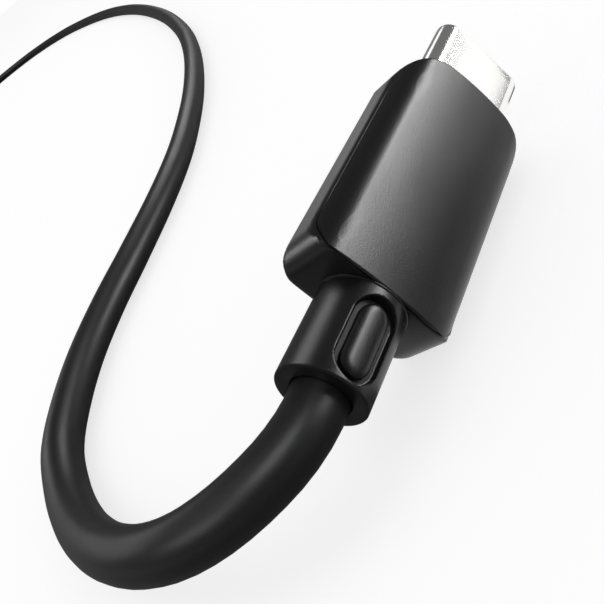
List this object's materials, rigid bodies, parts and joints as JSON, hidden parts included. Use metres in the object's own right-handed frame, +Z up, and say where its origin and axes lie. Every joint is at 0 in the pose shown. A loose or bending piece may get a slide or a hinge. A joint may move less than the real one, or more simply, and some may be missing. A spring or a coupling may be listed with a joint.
{
  "type": "charging cable",
  "caption": "Phone and tablet charging cable: a small flat plug in a dark crowned housing, a round strain relief, a limp black cord, partly coiled and tied, and a larger plug at its far end.",
  "frame": {"origin": "on the surface the cable lies on, under the middle of the near plug's bounding box", "axes": "+X along the near plug's axis towards its tip, +Z up from the surface; the plug is rolled 73 degrees about its axis and lies on a long edge, and the cord runs off towards +Y"},
  "size_m": [0.3192, 0.51, 0.012],
  "materials": {
    "housing": "satin, very fine grain",
    "relief": "satin",
    "pad": "bare, satin",
    "jacket": "smooth, matte",
    "plug_shell": "bright nickel",
    "insulator": "moulded",
    "contacts": "gold plated",
    "spring_steel": "plain strip",
    "board": "green solder mask",
    "chip": "moulded",
    "capacitor": "fired ceramic",
    "solder": "bright, reflowed",
    "wire": "coloured insulation",
    "shield": "tinned",
    "inner_mould": "natural moulding",
    "ferrule": "crimped",
    "tie": "woven strap"
  },
  "bodies": {
    "cable": {"usb_c_shell": "plug_shell", "usb_c_insulator": "insulator", "upper_contacts": "contacts", "lower_contacts": "contacts", "mid_plate": "spring_steel", "ground_springs": "spring_steel", "paddle_card": "board", "marker_chip": "chip", "card_capacitors": "capacitor", "usb_c_solder_joints": "solder", "usb_c_conductors": "wire", "usb_c_shield_can": "shield", "usb_c_inner_mould": "inner_mould", "usb_c_ferrule": "ferrule", "usb_c_jacket_end": "jacket", "usb_c_rear_shell": "housing", "usb_c_front_cover": "housing", "usb_c_strain_relief": "relief", "usb_c_badge_pad": "pad", "cord_lead": "jacket", "cord_coil": "jacket", "cord_tail": "jacket", "coil_tie": "tie", "usb_a_shell": "plug_shell", "usb_a_tongue": "insulator", "usb_a_contacts": "contacts", "usb_a_solder_joints": "solder", "usb_a_conductors": "wire", "usb_a_shield_can": "shield", "usb_a_inner_mould": "inner_mould", "usb_a_ferrule": "ferrule", "usb_a_jacket_end": "jacket", "usb_a_rear_shell": "housing", "usb_a_front_cover": "housing", "usb_a_strain_relief": "relief", "usb_a_badge_pad": "pad"},
    "left_latch": {"left_latch_spring": "spring_steel"},
    "right_latch": {"right_latch_spring": "spring_steel"}
  },
  "joints": [
    {"name": "left_latch_flex", "type": "hinge", "parent": "cable", "child": "left_latch", "pos_m": [0.00632, 0.00106, 0.00931], "axis": [0, -0.9563, 0.2924], "range_deg": [0, 1.2], "stiffness_Nm_per_rad": 0.2},
    {"name": "right_latch_flex", "type": "hinge", "parent": "cable", "child": "right_latch", "pos_m": [0.00632, -0.00098, 0.00263], "axis": [0, 0.9563, -0.2924], "range_deg": [0, 1.2], "stiffness_Nm_per_rad": 0.2}
  ]
}
